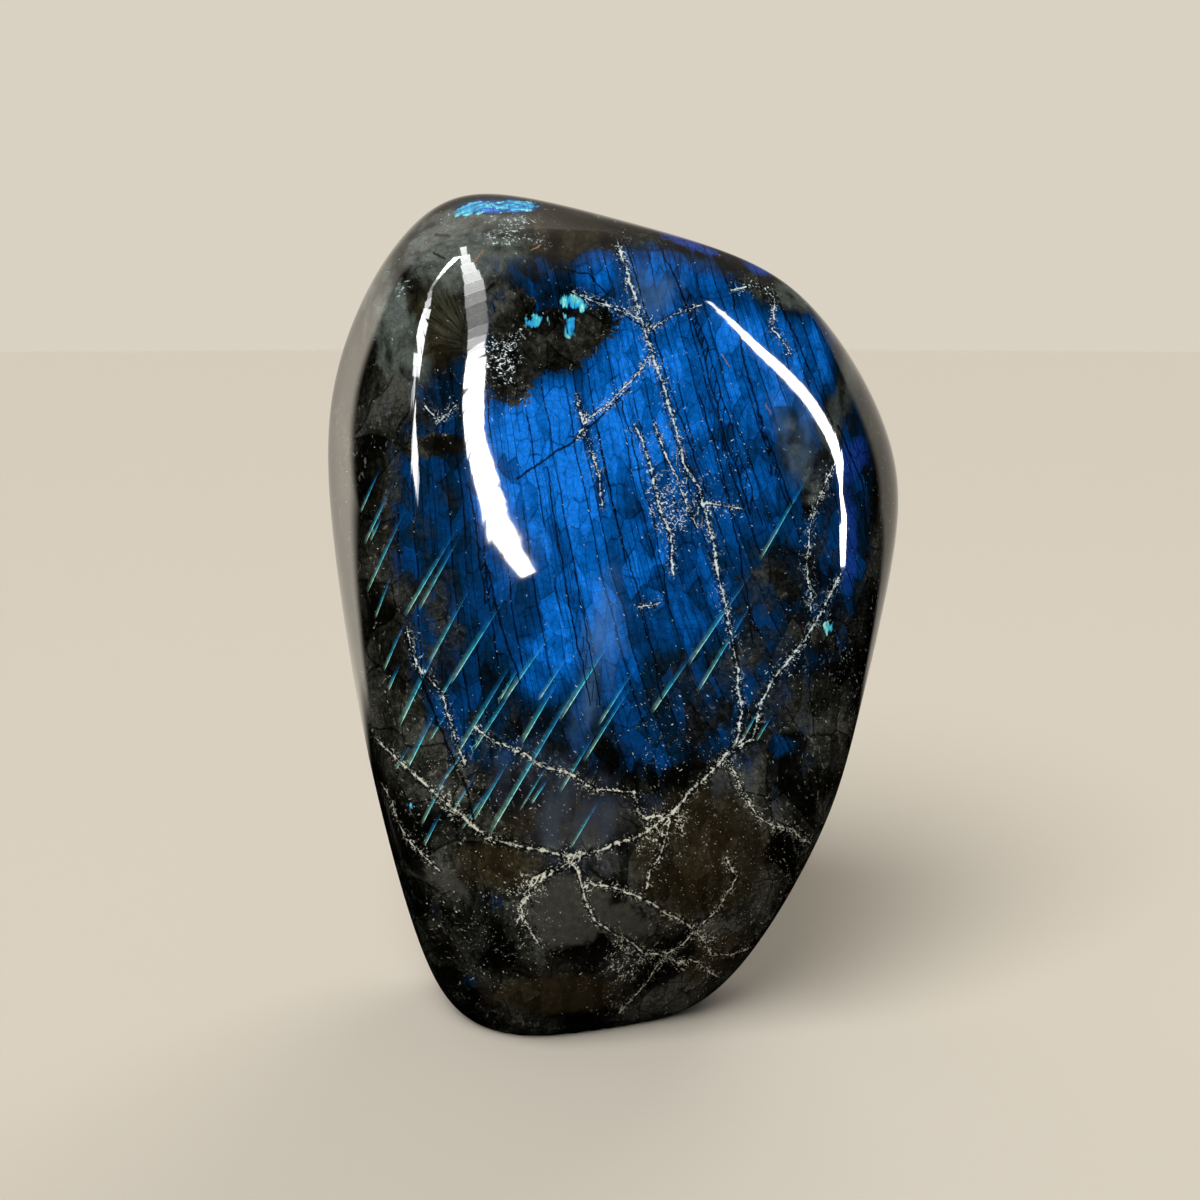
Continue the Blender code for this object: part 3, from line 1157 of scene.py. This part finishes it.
def polished_labradorite(look):
    """Dark feldspar with a layered blue flash, white veins and a wet-looking polish."""
    material = bpy.data.materials.new("polished_labradorite")
    material.use_nodes = True
    board = Board(material.node_tree)
    shader = material.node_tree.nodes["Principled BSDF"]
    at = shared_patterns(board)

    colour = dark_stone(board, at)
    colour = cloudy_stone(board, at, colour)
    colour = fibrous_stone(board, at, colour)
    left = light_left(board, at)
    colour = blue_flash(board, at, colour, left)
    colour = turquoise_spots(board, at, colour, left)
    colour = milky_haze_and_painted_reflection(board, at, colour)
    for name in GLINT_FAMILIES:
        colour = glint_wedges(board, at, name, colour)
    colour = fine_cracks(board, at, colour)
    colour = rusty_splinters(board, at, colour)
    colour, vein, beside_vein = pale_veins(board, at, colour)
    amount = board.step(board.attribute("zone_speckled"), -4.0, 3.0, 0.015, 0.20)
    amount = board.most(amount, beside_vein)
    amount = board.math("MULTIPLY_ADD", at.coarse["Line"], 0.22, amount)
    amount = board.times(amount, board.step(at.blotch, 0.30, 0.62, 0.35, 1.3))
    colour = pale_flecks(board, at, colour, amount)

    board.feed(shader.inputs["Base Color"], colour)
    board.feed(shader.inputs["Roughness"], board.step(vein, 0.0, 1.0, look.gloss_roughness, VEIN_ROUGHNESS))
    shader.inputs["IOR"].default_value = look.refraction
    return material


# Corners along the edges of the blank, and its half sizes in metres
CORNERS_ACROSS = 141
CORNERS_THROUGH = 57
CORNERS_UP = 205
HALF_BLANK = (0.064, 0.035, 0.092)

# A direction that goes down less than this counts as this steep where the foot is cut
NEARLY_LEVEL = 0.001


def ground_stone_tree(material):
    """Geometry nodes that grind a blank back to the flats and cut its foot level."""
    tree = bpy.data.node_groups.new("ground stone", "GeometryNodeTree")
    sockets = [
        ("Edge Power", 16.0), ("Middle Height", 0.098), ("Wave Depth", 0.0002), ("Wave Size", 0.03),
    ]
    tree.interface.new_socket("Geometry", in_out="OUTPUT", socket_type="NodeSocketGeometry")
    for name, default in sockets:
        tree.interface.new_socket(name, in_out="INPUT", socket_type=FLOAT).default_value = default
    board = Board(tree)
    given = board.node("NodeGroupInput").outputs
    cube = board.node("GeometryNodeMeshCube")
    cube.inputs["Size"].default_value = (2.0, 2.0, 2.0)
    cube.inputs["Vertices X"].default_value = CORNERS_ACROSS
    cube.inputs["Vertices Y"].default_value = CORNERS_THROUGH
    cube.inputs["Vertices Z"].default_value = CORNERS_UP

    # Even steps across the cube's faces become even angles on the ball
    corner = board.node("GeometryNodeInputPosition").outputs[0]
    evened = board.vector("TANGENT", board.scaled(corner, math.pi / 4))
    direction = board.vector("NORMALIZE", board.vector("MULTIPLY", evened, HALF_BLANK))
    total = 0.0
    for flat in GROUND_FLATS:
        lean = board.vector("DOT_PRODUCT", direction, facing(flat.turn, flat.rise) / flat.distance)
        part = board.math("POWER", board.most(lean, 0.0), given["Edge Power"])
        total = board.math("ADD", total, part)
    reach = board.math("POWER", total, board.math("DIVIDE", -1.0, given["Edge Power"]))
    wave = board.noise(board.scaled(direction, 0.1), 1.0, 1.0, 0.4)
    board.feed(wave.node.inputs["Scale"], board.math("DIVIDE", 1.0, given["Wave Size"]))
    reach = board.math("SUBTRACT", reach, board.times(wave, given["Wave Depth"]))
    down = board.most(board.times(board.split(direction)["Z"], -1.0), NEARLY_LEVEL)
    reach = board.math("MINIMUM", reach, board.math("DIVIDE", given["Middle Height"], down))
    lift = board.join(0.0, 0.0, given["Middle Height"])
    ground = board.vector("ADD", board.scaled(direction, reach), lift)

    placed = board.node("GeometryNodeSetPosition")
    board.feed(placed.inputs["Geometry"], cube.outputs["Mesh"])
    board.feed(placed.inputs["Position"], ground)
    real = board.node("GeometryNodeRealizeInstances")
    board.feed(real.inputs[0], placed.outputs[0])
    finished = board.node("GeometryNodeSetMaterial")
    board.feed(finished.inputs["Geometry"], real.outputs[0])
    finished.inputs["Material"].default_value = material
    board.feed(board.node("NodeGroupOutput").inputs[0], finished.outputs[0])
    return tree


def grind_mesh(look, material):
    """The ground stone as a plain mesh, standing where its solid stands."""
    tree = ground_stone_tree(material)
    blank = bpy.data.objects.new("blank", bpy.data.meshes.new("blank"))
    bpy.context.scene.collection.objects.link(blank)
    modifier = blank.modifiers.new("ground stone", "NODES")
    modifier.node_group = tree
    values = {
        "Edge Power": look.edge_power,
        "Middle Height": look.middle_height,
        "Wave Depth": look.wave_depth,
        "Wave Size": look.wave_size,
    }
    for item in tree.interface.items_tree:
        if item.name in values:
            modifier[item.identifier] = values[item.name]
    graph = bpy.context.evaluated_depsgraph_get()
    mesh = bpy.data.meshes.new_from_object(blank.evaluated_get(graph))
    mesh.name = STONE_PIECE
    bpy.data.objects.remove(blank)
    corners = read_corners(mesh)
    low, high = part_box(STONE_NODE)
    middle = (corners.min(0) + corners.max(0)) / 2
    mesh.transform(Matrix.Translation((
        (low.x + high.x) / 2 - middle[0],
        (low.y + high.y) / 2 - middle[1],
        low.z - corners[:, 2].min(),
    )))
    mesh.shade_smooth()
    return mesh


def read_corners(mesh):
    """The places of a mesh's corners, one row each."""
    flat = np.empty(len(mesh.vertices) * 3, np.float32)
    mesh.vertices.foreach_get("co", flat)
    return flat.reshape(-1, 3).astype(float)


def eased(values, low, high):
    """0 at low, 1 at high, and eased between."""
    part = np.clip((values - low) / (high - low), 0.0, 1.0)
    return part * part * (3.0 - 2.0 * part)


def write_numbers(mesh, name, values):
    mesh.attributes.new(name, "FLOAT", "POINT").data.foreach_set("value", values.astype(np.float32))


def write_vectors(mesh, name, values):
    attribute = mesh.attributes.new(name, "FLOAT_VECTOR", "POINT")
    attribute.data.foreach_set("vector", values.astype(np.float32).ravel())


# A corner further than this from every line carries none, in millimetres
LINE_REACH = 4.0

# A vein or crack turns a little every few millimetres, by up to this much
ROUTE_STEP = 2.6
ROUTE_TURN = 0.28

# Lines fade out this far from the middle of the stone's depth, in millimetres
LINE_DEPTH = 5.0

# A glint is drawn this much of its width, and the glow beside it is wider
GLINT_THINNESS = 0.2


def roughened(lines, seed):
    """The same lines with small bends between their points."""
    random = np.random.RandomState(seed)
    rough = []
    for line in lines:
        route = [np.array(line.route[0], float)]
        for end in line.route[1:]:
            start = route[-1]
            run = np.array(end, float) - start
            length = np.linalg.norm(run)
            beside = np.array((-run[1], run[0])) / length
            count = max(1, round(length / ROUTE_STEP))
            for index in range(1, count):
                bend = random.uniform(-ROUTE_TURN, ROUTE_TURN)
                route.append(start + run * index / count + beside * bend)
            route.append(np.array(end, float))
        rough.append(Line(line.width, route))
    return rough


def lines_near(face, lines):
    """For each (x, z) corner: its nearest line's sheet and offset, the gap to it and the part along it."""
    sheet = np.zeros((len(face), 3))
    offset = np.zeros(len(face))
    gap = np.full(len(face), LINE_REACH)
    along = np.zeros(len(face))
    for line in lines:
        for start, end in zip(line.route, line.route[1:]):
            start, end = np.array(start, float), np.array(end, float)
            run = end - start
            inside = np.abs(face - (start + end) / 2) < np.abs(run) / 2 + LINE_REACH
            near = np.flatnonzero(inside.all(axis=1))
            part = (face[near] - start) @ run / (run @ run)
            away = np.linalg.norm(face[near] - start - np.clip(part, 0.0, 1.0)[:, None] * run, axis=1)
            closer = away < gap[near]
            near, part, away = near[closer], part[closer], away[closer]
            normal = np.array((run[1], -run[0])) / np.linalg.norm(run) / (line.width / 2)
            if normal @ (1.0, 0.2) < 0.0:
                normal = -normal
            sheet[near] = (normal[0], 0.0, normal[1])
            offset[near] = normal @ start
            gap[near] = away
            along[near] = part
    return sheet, offset, gap, along


def lay_lines(mesh, corners, name, front, back):
    """Writes the lines of both broad faces onto the mesh's corners."""
    face = corners[:, [0, 2]] / MM
    on_front = corners[:, 1] < 0.0
    sheet, offset, gap, along = (
        np.where(on_front if ours.ndim == 1 else on_front[:, None], ours, theirs)
        for ours, theirs in zip(lines_near(face, front), lines_near(face, back))
    )
    # Lines end before they would meet the other face's
    gap = np.maximum(gap, LINE_REACH * (1.0 - eased(np.abs(corners[:, 1]) / MM, 0.0, LINE_DEPTH)))
    write_vectors(mesh, name + "_sheet", sheet)
    write_numbers(mesh, name + "_offset", offset)
    write_numbers(mesh, name + "_gap", gap)
    write_numbers(mesh, name + "_along", along)


def oval_reach(face, oval):
    """How far each (x, z) corner is from an oval's middle, as a part of the way to its edge."""
    turn = math.radians(oval.turn)
    across = face[:, 0] - oval.x
    up = face[:, 1] - oval.z
    along = (across * math.cos(turn) + up * math.sin(turn)) / oval.half_width
    beside = (up * math.cos(turn) - across * math.sin(turn)) / oval.half_height
    return np.hypot(along, beside)


# Past this distance outside a patch it makes no difference how far, in millimetres
PATCH_LIMIT = 8.0

# A brush begins to fade at the first part of the way to its edge, and is gone at the second
BRUSH_EDGE = (0.55, 1.25)

# The zones of the two faces melt into each other within this far of the middle, in millimetres
FACE_BLEND = 6.0

# Points compared along each glint
GLINT_POINTS = 9


def patch_depth(face, patches):
    """How deep each corner is inside the nearest patch, in millimetres, and negative outside."""
    depth = np.full(len(face), -PATCH_LIMIT)
    for patch in patches:
        size = math.sqrt(patch.half_width * patch.half_height)
        depth = np.maximum(depth, (1.0 - oval_reach(face, patch)) * size)
    return depth


def painted_level(face, brushes):
    """The level left on each corner by soft ovals painted one over another."""
    level = np.zeros(len(face))
    for brush in brushes:
        cover = 1.0 - eased(oval_reach(face, brush), *BRUSH_EDGE)
        level += (brush.level - level) * cover
    return level


def lay_zones(mesh, corners):
    """Writes the colour zones of both broad faces onto the mesh's corners."""
    face = corners[:, [0, 2]] / MM
    toward_front = 1.0 - eased(corners[:, 1] / MM, -FACE_BLEND, FACE_BLEND)
    zones = {
        "bare": (FRONT_BARE, BACK_BARE),
        "haze_and_reflection": (FRONT_HAZE_AND_REFLECTION, BACK_HAZE),
        "turquoise": (FRONT_TURQUOISE, BACK_TURQUOISE),
        "violet": (FRONT_VIOLET, BACK_VIOLET),
        "brown": (FRONT_BROWN, BACK_BROWN),
        "grey": (FRONT_GREY, BACK_GREY),
        "ashen": (FRONT_ASHEN, BACK_ASHEN),
        "fibre": (FRONT_FIBRE, BACK_FIBRE),
        "crust": (FRONT_CRUST, BACK_CRUST),
        "black": (FRONT_BLACK, BACK_BLACK),
        "speckled": (FRONT_SPECKLED, BACK_SPECKLED),
    }
    for name, (front, back) in zones.items():
        depth = toward_front * patch_depth(face, front) + (1.0 - toward_front) * patch_depth(face, back)
        write_numbers(mesh, "zone_" + name, depth)
    level = toward_front * painted_level(face, FRONT_FLASH)
    level += (1.0 - toward_front) * painted_level(face, BACK_FLASH)
    write_numbers(mesh, "flash_level", level)


def apart(line, other):
    """The smallest distance between two straight lines."""
    parts = np.linspace(0.0, 1.0, GLINT_POINTS)[:, None]
    ours, theirs = (
        np.array(each.route[0]) * (1.0 - parts) + np.array(each.route[1]) * parts
        for each in (line, other)
    )
    return np.linalg.norm(ours[:, None] - theirs[None], axis=2).min()


def glint_families(glints):
    """The glints as lines, shared out so that those of one family lie far apart."""
    families = [[] for _ in GLINT_FAMILIES]
    for glint in glints:
        line = Line(glint.width * GLINT_THINNESS, [glint.foot, glint.head])
        room = [min((apart(line, other) for other in family), default=math.inf) for family in families]
        families[room.index(max(room))].append(line)
    return families


def make_stone(look):
    """The whole stone: ground, laid out and polished."""
    material = polished_labradorite(look)
    mesh = grind_mesh(look, material)
    corners = read_corners(mesh)
    lay_zones(mesh, corners)
    lay_lines(mesh, corners, "vein", roughened(FRONT_VEINS, 1), roughened(BACK_VEINS, 2))
    lay_lines(mesh, corners, "crack", roughened(FRONT_CRACKS, 3), roughened(BACK_CRACKS, 4))
    lay_lines(mesh, corners, "splinter", FRONT_SPLINTERS, BACK_SPLINTERS)
    for name, front, back in zip(GLINT_FAMILIES, glint_families(FRONT_GLINTS), glint_families(BACK_GLINTS)):
        lay_lines(mesh, corners, name, front, back)
    stone = bpy.data.objects.new(STONE_PIECE, mesh)
    bpy.context.scene.collection.objects.link(stone)
    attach(stone, "root")
    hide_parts(STONE_NODE)


def make_floor(stage):
    """A plain pale floor, wide enough to meet the backdrop from every side."""
    material = bpy.data.materials.new("pale_floor")
    material.use_nodes = True
    shader = material.node_tree.nodes["Principled BSDF"]
    shader.inputs["Base Color"].default_value = (*stage.floor_colour, 1.0)
    shader.inputs["Roughness"].default_value = FLOOR_ROUGHNESS
    bpy.ops.mesh.primitive_circle_add(vertices=FLOOR_SIDES, radius=FLOOR_RADIUS, fill_type="NGON")
    floor = bpy.context.active_object
    floor.name = "floor"
    floor.data.materials.append(material)
    # The polish mirrors a dark floor, as in a dim room
    floor.visible_glossy = False


def add_light(name, kind, place, axes):
    """A light that the camera doesn't see, turned so that its axes are the given ones."""
    light = bpy.data.objects.new(name, bpy.data.lights.new(name, kind))
    bpy.context.scene.collection.objects.link(light)
    light.location = place
    light.rotation_euler = Matrix(axes).transposed().to_euler()
    light.visible_camera = False
    return light


def polish_at(stone, x, z):
    """The place on the front at (x, z) in millimetres, and the way the polish faces there."""
    start = Vector((x * MM, -1.0, z * MM))
    there, place, _, index = stone.ray_cast(start, Vector((0, 1, 0)))
    if not there:
        raise ValueError(f"no stone at {x}, {z}")
    corners = [stone.data.vertices[corner] for corner in stone.data.polygons[index].vertices]
    shares = poly_3d_calc([corner.co for corner in corners], place)
    facing_sum = sum((corner.normal * share for corner, share in zip(corners, shares)), Vector())
    return place, facing_sum.normalized()


def mirrored_place(stone, x, z):
    """Where a light has to be for the camera to see it mirrored at (x, z) on the front."""
    place, outward = polish_at(stone, x, z)
    toward = (place - CAMERA_PLACE).normalized()
    away = toward - 2.0 * toward.dot(outward) * outward
    from_centre = place - LIGHT_RUN_CENTRE
    half = from_centre.dot(away)
    reach = math.sqrt(half ** 2 - from_centre.length_squared + LIGHT_RUN_DISTANCE ** 2) - half
    return place + reach * away


def mirrored_edges(stone, gleam, run):
    """Where the two edges of a window lie for a point of its highlight, which runs along (x, z)."""
    half = np.array((-run[1], run[0])) / np.hypot(*run) * gleam.width / 2
    return [mirrored_place(stone, gleam.x + side * half[0], gleam.z + side * half[1]) for side in (-1, 1)]


def add_strip_light(name, start, end, radiance):
    """A thin light between two pairs of edges, which only the polish shows."""
    first, last = (start[0] + start[1]) / 2, (end[0] + end[1]) / 2
    middle = (first + last) / 2
    run = (last - first) * STRIP_OVERLAP
    across = (start[1] - start[0] + end[1] - end[0]) / 2
    long, short = (across, run) if run.length < SHORT_RUN * across.length else (run, across)
    axis = long.normalized()
    back = middle - LIGHT_RUN_CENTRE
    back = (back - axis * back.dot(axis)).normalized()
    side = back.cross(axis)
    strip = add_light(name, "AREA", middle, (axis, side, back))
    strip.data.shape = "RECTANGLE"
    strip.data.size = long.length
    strip.data.size_y = abs(short.dot(side))
    strip.data.energy = radiance * math.pi * strip.data.size * strip.data.size_y
    strip.visible_diffuse = False


def add_highlight(name, stone, gleams, radiance):
    """The strips of one window, laid from edge to edge along its highlight."""
    gleams = smooth_run(gleams)
    places = np.array([gleam[:2] for gleam in gleams])
    runs = np.gradient(places, axis=0)
    edges = [mirrored_edges(stone, gleam, run) for gleam, run in zip(gleams, runs)]
    for index, (start, end) in enumerate(zip(edges, edges[1:])):
        strength = (gleams[index].strength + gleams[index + 1].strength) / 2
        add_strip_light(f"{name}_{index}", start, end, radiance * strength)


def smooth_run(stations):
    """The points of a highlight with more of them between, along a curve through them all."""
    run = [np.array(station) for station in stations]
    run = [2 * run[0] - run[1]] + run + [2 * run[-1] - run[-2]]
    smooth = []
    for before, start, end, after in zip(run, run[1:], run[2:], run[3:]):
        for index in range(STRIPS_PER_STATION):
            t = index / STRIPS_PER_STATION
            point = start + 0.5 * t * (
                end - before
                + t * (2 * before - 5 * start + 4 * end - after + t * (3 * (start - end) + after - before))
            )
            smooth.append(Gleam(*point))
    smooth.append(stations[-1])
    return smooth


def add_soft_sun(name, turn, rise, strength):
    """An even soft light from one direction, which the polish doesn't show."""
    back = facing(turn, rise)
    side = back.cross(Vector((0, 0, 1))).normalized()
    sun = add_light(name, "SUN", back, (side, back.cross(side), back))
    sun.data.energy = strength
    sun.data.angle = math.radians(SUN_SPREAD)
    sun.visible_glossy = False


def make_lights(stage):
    stone = bpy.data.objects.get(STONE_PIECE)
    if stone is None:
        raise ValueError("the stone comes first, since the windows are placed by their highlights on it")
    for name, gleams in HIGHLIGHTS.items():
        add_highlight(name, stone, gleams, stage.highlight_radiance)
    add_soft_sun("key", KEY_TURN, KEY_RISE, stage.key_strength)
    add_soft_sun("back_fill", BACK_FILL_TURN, BACK_FILL_RISE, stage.fill_strength)


def make_world(stage):
    """A pale backdrop for the camera, and a wall behind the stone and a ceiling for the polish."""
    world = bpy.data.worlds.new("studio")
    bpy.context.scene.world = world
    world.use_nodes = True
    board = Board(world.node_tree)
    background = world.node_tree.nodes["Background"]
    background.inputs["Color"].default_value = (*stage.backdrop_colour, 1.0)
    right, behind, up = board.split(board.node("ShaderNodeTexCoord").outputs["Generated"])

    # The lower the polish looks, the further behind the stone the wall begins
    below = board.most(board.math("SUBTRACT", WALL_DIP, up), 0.0)
    past_edge = board.math("SUBTRACT", behind, board.math("MULTIPLY_ADD", below, WALL_SLANT, WALL_BEGIN))
    # The polish mirrors less the less it is seen edge on, and the left wall makes up for that
    left_wall = board.step(behind, *LEFT_WALL_TURN, stage.left_wall_strength, LEFT_WALL_BACK)
    wall = board.times(
        board.step(past_edge, 0.0, WALL_SOFTNESS),
        board.step(up, *WALL_FOOT),
        board.mix(board.step(right, *SIDES_MEET), left_wall, grey(stage.right_wall_strength)),
        board.step(up, *WALL_HEAD, 1.0, WALL_HEAD_LEFT),
    )
    ceiling = board.step(up, *CEILING, 0.0, stage.ceiling_strength)
    mirrored = board.most(wall, ceiling)
    seen = board.node("ShaderNodeLightPath").outputs["Is Camera Ray"]
    unseen = board.times(mirrored, board.math("SUBTRACT", 1.0, seen))
    board.feed(background.inputs["Strength"], board.math("ADD", seen, unseen))


def make_camera():
    camera = bpy.data.objects.new("camera", bpy.data.cameras.new("camera"))
    camera.data.lens = CAMERA_LENS
    camera.data.sensor_width = CAMERA_SENSOR
    camera.data.clip_start = CAMERA_CLIP
    camera.location = CAMERA_PLACE
    camera.rotation_euler = (CAMERA_TARGET - CAMERA_PLACE).to_track_quat("-Z", "Y").to_euler()
    bpy.context.scene.collection.objects.link(camera)
    bpy.context.scene.camera = camera


class StoneLook(bpy.types.PropertyGroup):
    """Sizes and finish of the stone."""

    edge_power: bpy.props.FloatProperty(
        name="Edge Power", description="How tight the edges between ground flats are",
        default=16.0, min=4.0, max=60.0,
    )
    middle_height: bpy.props.FloatProperty(
        name="Middle Height", description="Height of the middle that the flats are measured from",
        default=0.098, min=0.05, max=0.2, unit="LENGTH", precision=4,
    )
    wave_depth: bpy.props.FloatProperty(
        name="Wave Depth", description="How deep the hand polish waves are",
        default=0.0001, min=0.0, max=0.002, unit="LENGTH", precision=5,
    )
    wave_size: bpy.props.FloatProperty(
        name="Wave Size", description="How far apart the hand polish waves are",
        default=0.03, min=0.002, max=0.1, unit="LENGTH", precision=4,
    )
    gloss_roughness: bpy.props.FloatProperty(
        name="Gloss Roughness", description="Roughness of the polish",
        default=0.03, min=0.0, max=1.0, subtype="FACTOR",
    )
    refraction: bpy.props.FloatProperty(
        name="Refraction", description="Refractive index of feldspar", default=1.56, min=1.0, max=2.5
    )


class StudioStage(bpy.types.PropertyGroup):
    """Colours and lights of the studio."""

    floor_colour: bpy.props.FloatVectorProperty(
        name="Floor Colour", description="Colour of the plain floor", default=(0.535, 0.49, 0.417),
        min=0.0, max=1.0, subtype="COLOR",
    )
    backdrop_colour: bpy.props.FloatVectorProperty(
        name="Backdrop Colour", description="Colour behind the stone", default=(0.70, 0.64, 0.54),
        min=0.0, max=1.0, subtype="COLOR",
    )
    highlight_radiance: bpy.props.FloatProperty(
        name="Highlight Radiance", description="Brightness of the strip lights that the polish mirrors",
        default=45.0, min=0.0, max=1000.0,
    )
    key_strength: bpy.props.FloatProperty(
        name="Key Strength", description="Strength of the main soft light", default=3.6, min=0.0, max=100.0
    )
    fill_strength: bpy.props.FloatProperty(
        name="Fill Strength", description="Strength of the soft light from behind",
        default=1.0, min=0.0, max=100.0,
    )
    left_wall_strength: bpy.props.FloatProperty(
        name="Left Wall Strength", description="Brightness of the wall in the left rim",
        default=4.0, min=0.0, max=10.0,
    )
    right_wall_strength: bpy.props.FloatProperty(
        name="Right Wall Strength", description="Brightness of the wall in the right rim",
        default=0.9, min=0.0, max=10.0,
    )
    ceiling_strength: bpy.props.FloatProperty(
        name="Ceiling Strength", description="Brightness of the ceiling in the shoulders",
        default=0.45, min=0.0, max=10.0,
    )


class LABRADORITE_OT_grind_stone(bpy.types.Operator):
    """Grinds, lays out and polishes the stone"""

    bl_idname = "labradorite.grind_stone"
    bl_label = "Grind Stone"
    bl_options = {"REGISTER", "UNDO"}

    def execute(self, context):
        make_stone(context.scene.labradorite_look)
        return {"FINISHED"}


class LABRADORITE_OT_set_stage(bpy.types.Operator):
    """Adds the floor, the lights and the camera"""

    bl_idname = "labradorite.set_stage"
    bl_label = "Set Stage"
    bl_options = {"REGISTER", "UNDO"}

    def execute(self, context):
        stage = context.scene.labradorite_stage
        make_floor(stage)
        make_lights(stage)
        make_world(stage)
        make_camera()
        context.scene.view_settings.view_transform = "Standard"
        return {"FINISHED"}


class LABRADORITE_PT_panel(bpy.types.Panel):
    """Sizes, colours and steps of the labradorite freeform"""

    bl_idname = "LABRADORITE_PT_panel"
    bl_label = "Labradorite Freeform"
    bl_space_type = "VIEW_3D"
    bl_region_type = "UI"
    bl_category = "Labradorite"

    def draw(self, context):
        for group, operator in (
            (context.scene.labradorite_look, LABRADORITE_OT_grind_stone),
            (context.scene.labradorite_stage, LABRADORITE_OT_set_stage),
        ):
            box = self.layout.box()
            for name in group.__annotations__:
                box.prop(group, name)
            box.operator(operator.bl_idname)


CLASSES = (
    StoneLook,
    StudioStage,
    LABRADORITE_OT_grind_stone,
    LABRADORITE_OT_set_stage,
    LABRADORITE_PT_panel,
)


def register():
    for each in CLASSES:
        bpy.utils.register_class(each)
    bpy.types.Scene.labradorite_look = bpy.props.PointerProperty(type=StoneLook)
    bpy.types.Scene.labradorite_stage = bpy.props.PointerProperty(type=StudioStage)


def unregister():
    del bpy.types.Scene.labradorite_stage
    del bpy.types.Scene.labradorite_look
    for each in reversed(CLASSES):
        bpy.utils.unregister_class(each)


def main():
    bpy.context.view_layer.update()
    register()
    bpy.ops.labradorite.grind_stone()
    bpy.ops.labradorite.set_stage()


if __name__ == "__main__":
    main()
